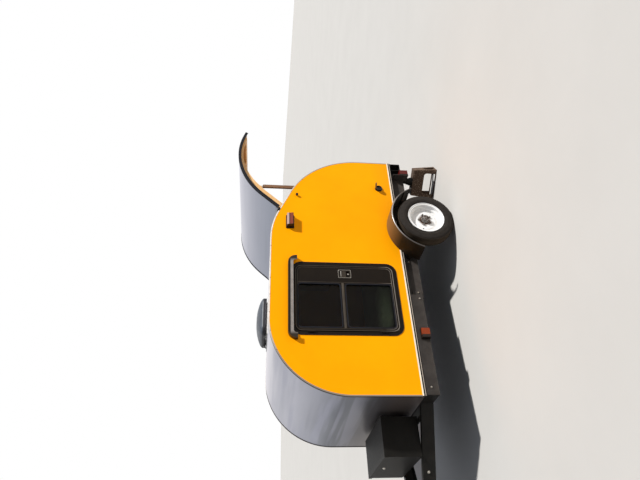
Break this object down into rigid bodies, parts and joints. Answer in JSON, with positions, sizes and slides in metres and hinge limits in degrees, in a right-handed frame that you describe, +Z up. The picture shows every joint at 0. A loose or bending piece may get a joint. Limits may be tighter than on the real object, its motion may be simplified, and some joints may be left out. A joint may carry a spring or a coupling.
{
  "type": "teardrop camping trailer",
  "caption": "Small teardrop camping trailer with yellow sides, bright metal roof, rear galley hatch propped open, white wheels and a tongue box, standing on axle stands.",
  "frame": {"origin": "on the ground, midway along the trailer from the coupler's nose to the raised hatch's rear edge, on the centre plane", "axes": "+X forwards along the drawbar, +Y to the trailer's left, +Z up"},
  "size_m": [3.885, 1.832, 1.9969],
  "materials": {
    "wall_paint": "satin golden yellow paint on the side walls",
    "black_floor_coating": "black coating on the wooden deck, dusty",
    "birch_plywood": "clear-coated pale plywood",
    "mill_aluminium": "plain bright sheet with faint waviness",
    "edge_trim_metal": "bright trim strip, clean",
    "sill_trim_metal": "pale trim strips along the sill",
    "black_edging": "black edging strip round the hatch",
    "pale_wood": "pale planed wood",
    "hinge_aluminium": "extruded satin strip",
    "prop_wood": "planed wood, a little darker on its front face",
    "zinc_steel": "zinc-plated strip",
    "black_door_frame": "black anodised frame, satin",
    "door_glass": "lightly tinted flat glass",
    "latch_metal": "bright latch with a dark paddle",
    "drip_cap_metal": "silver lip with a black top",
    "black_lamp_plastic": "black lamp bodies",
    "lamp_lens_plastic": "amber lenses at the sides, red at the rear",
    "black_rubber": "black rubber knob",
    "chrome_inlet": "bright plated inlet",
    "vent_white_plastic": "off-white plastic curb",
    "smoked_acrylic": "dark smoked dome",
    "chassis_black": "black paint with dust and small scuffs",
    "black_box_paint": "textured black powder coat",
    "coupler_steel": "black enamel worn at the cup",
    "jack_steel": "zinc-plated tube",
    "axle_steel": "black paint, brown with road dust",
    "tyre_rubber": "dusty black tyre",
    "white_rim_paint": "glossy white, brown at the hub",
    "fender_paint": "dusty dark satin with a bright rolled lip",
    "rusty_stand_steel": "brown rusty sheet and a black post",
    "mattress_cloth": "grey-green cotton cover",
    "quilt_cloth": "grey-green quilted cloth"
  },
  "bodies": {
    "trailer": {"side_walls": "wall_paint", "floor_deck": "black_floor_coating", "roof_board": "birch_plywood", "roof_skin": "mill_aluminium", "edge_trims": "edge_trim_metal", "sill_trims": "sill_trim_metal", "galley_cabinet": "birch_plywood", "rear_panel": "mill_aluminium", "bulkheads": "birch_plywood", "hatch_hinge_rod": "hinge_aluminium", "prop_catches": "zinc_steel", "door_frames": "black_door_frame", "drip_caps": "drip_cap_metal", "hatch_knobs": "black_rubber", "power_inlet": "chrome_inlet", "vent_base": "vent_white_plastic", "front_rails": "chassis_black", "rear_rails": "chassis_black", "cross_members": "chassis_black", "tongue_frame": "chassis_black", "tongue_box": "black_box_paint", "coupler": "coupler_steel", "jack_tube": "jack_steel", "axle": "axle_steel", "leaf_springs": "axle_steel", "spring_hangers": "chassis_black", "fenders": "fender_paint", "tail_lamp_plates": "chassis_black", "lamp_housings": "black_lamp_plastic", "lamp_lenses": "lamp_lens_plastic", "axle_stands": "rusty_stand_steel", "mattress": "mattress_cloth", "quilt": "quilt_cloth"},
    "hatch": {"hatch_board": "birch_plywood", "hatch_skin": "mill_aluminium", "hatch_edging": "black_edging", "hatch_frame": "pale_wood", "hatch_spars": "pale_wood", "hatch_hinge_barrel": "hinge_aluminium", "prop_ears": "zinc_steel"},
    "prop_left": {"prop_left": "prop_wood"},
    "prop_right": {"prop_right": "prop_wood"},
    "door_left": {"door_leaf_left": "black_door_frame", "door_glass_left": "door_glass", "door_latch_left": "latch_metal"},
    "door_right": {"door_leaf_right": "black_door_frame", "door_glass_right": "door_glass", "door_latch_right": "latch_metal"},
    "wheel_left": {"tyre_left": "tyre_rubber", "rim_left": "white_rim_paint"},
    "wheel_right": {"tyre_right": "tyre_rubber", "rim_right": "white_rim_paint"},
    "roof_vent_lid": {"vent_lid": "smoked_acrylic"},
    "box_lid": {"tongue_box_lid": "black_box_paint"},
    "jack_slide": {"jack_leg": "jack_steel"}
  },
  "joints": [
    {"name": "hatch_hinge", "type": "hinge", "parent": "trailer", "child": "hatch", "pos_m": [-0.93584, 0, 1.58242], "axis": [0, 1, 0], "range_deg": [-71, 0]},
    {"name": "prop_left_pivot", "type": "hinge", "parent": "hatch", "child": "prop_left", "pos_m": [-1.23078, 0.6365, 1.7288], "axis": [0, 1, 0], "range_deg": [0, 114.4]},
    {"name": "prop_right_pivot", "type": "hinge", "parent": "hatch", "child": "prop_right", "pos_m": [-1.23078, -0.6365, 1.7288], "axis": [0, 1, 0], "range_deg": [0, 114.4]},
    {"name": "door_left_hinge", "type": "hinge", "parent": "trailer", "child": "door_left", "pos_m": [0.3375, 0.68, 1.015], "axis": [0, 0, -1], "range_deg": [0, 95]},
    {"name": "door_right_hinge", "type": "hinge", "parent": "trailer", "child": "door_right", "pos_m": [0.3375, -0.68, 1.015], "axis": [0, 0, 1], "range_deg": [0, 95]},
    {"name": "wheel_left_spin", "type": "hinge", "parent": "trailer", "child": "wheel_left", "pos_m": [-0.7325, 0.8075, 0.2565], "axis": [0, 1, 0], "continuous": true},
    {"name": "wheel_right_spin", "type": "hinge", "parent": "trailer", "child": "wheel_right", "pos_m": [-0.7325, -0.8075, 0.2565], "axis": [0, 1, 0], "continuous": true},
    {"name": "roof_vent_hinge", "type": "hinge", "parent": "trailer", "child": "roof_vent_lid", "pos_m": [0.109, 0, 1.668], "axis": [0, 1, 0], "range_deg": [0, 60]},
    {"name": "box_lid_hinge", "type": "hinge", "parent": "trailer", "child": "box_lid", "pos_m": [0.8895, 0, 0.727], "axis": [0, -1, 0], "range_deg": [0, 85]},
    {"name": "jack_travel", "type": "slide", "parent": "trailer", "child": "jack_slide", "axis": [0, 0, 1], "range_m": [0, 0.2]}
  ],
  "couplings": [
    {"joint": "prop_left_pivot", "follows": "hatch_hinge", "ratio": -1.6097},
    {"joint": "prop_right_pivot", "follows": "hatch_hinge", "ratio": -1.6097}
  ]
}
